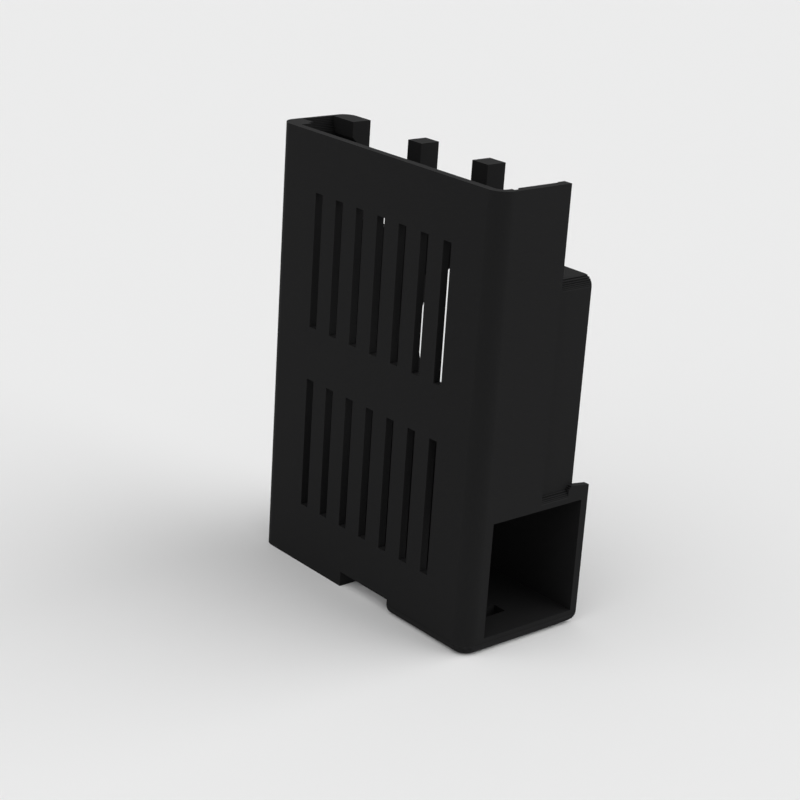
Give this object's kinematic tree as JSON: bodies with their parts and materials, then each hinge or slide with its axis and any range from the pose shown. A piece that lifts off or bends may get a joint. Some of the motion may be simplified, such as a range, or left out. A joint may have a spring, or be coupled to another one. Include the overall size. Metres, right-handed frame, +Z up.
{
  "type": "single-board computer case",
  "caption": "Slim one-piece upright case for a credit-card-size computer board, with vent slots, an open port end, a side wire tunnel and a raised fan seat.",
  "frame": {"origin": "middle of the base, on the ground that the case stands on", "axes": "+Z up, from the closed end to the open port end; -Y is the way the vented front wall faces; +X is the side with the wire tunnel"},
  "size_m": [0.061, 0.0278, 0.085],
  "materials": {
    "shell": "matte black printed plastic with fine layer lines"
  },
  "bodies": {
    "root": {"case_shell": "shell"}
  },
  "joints": []
}
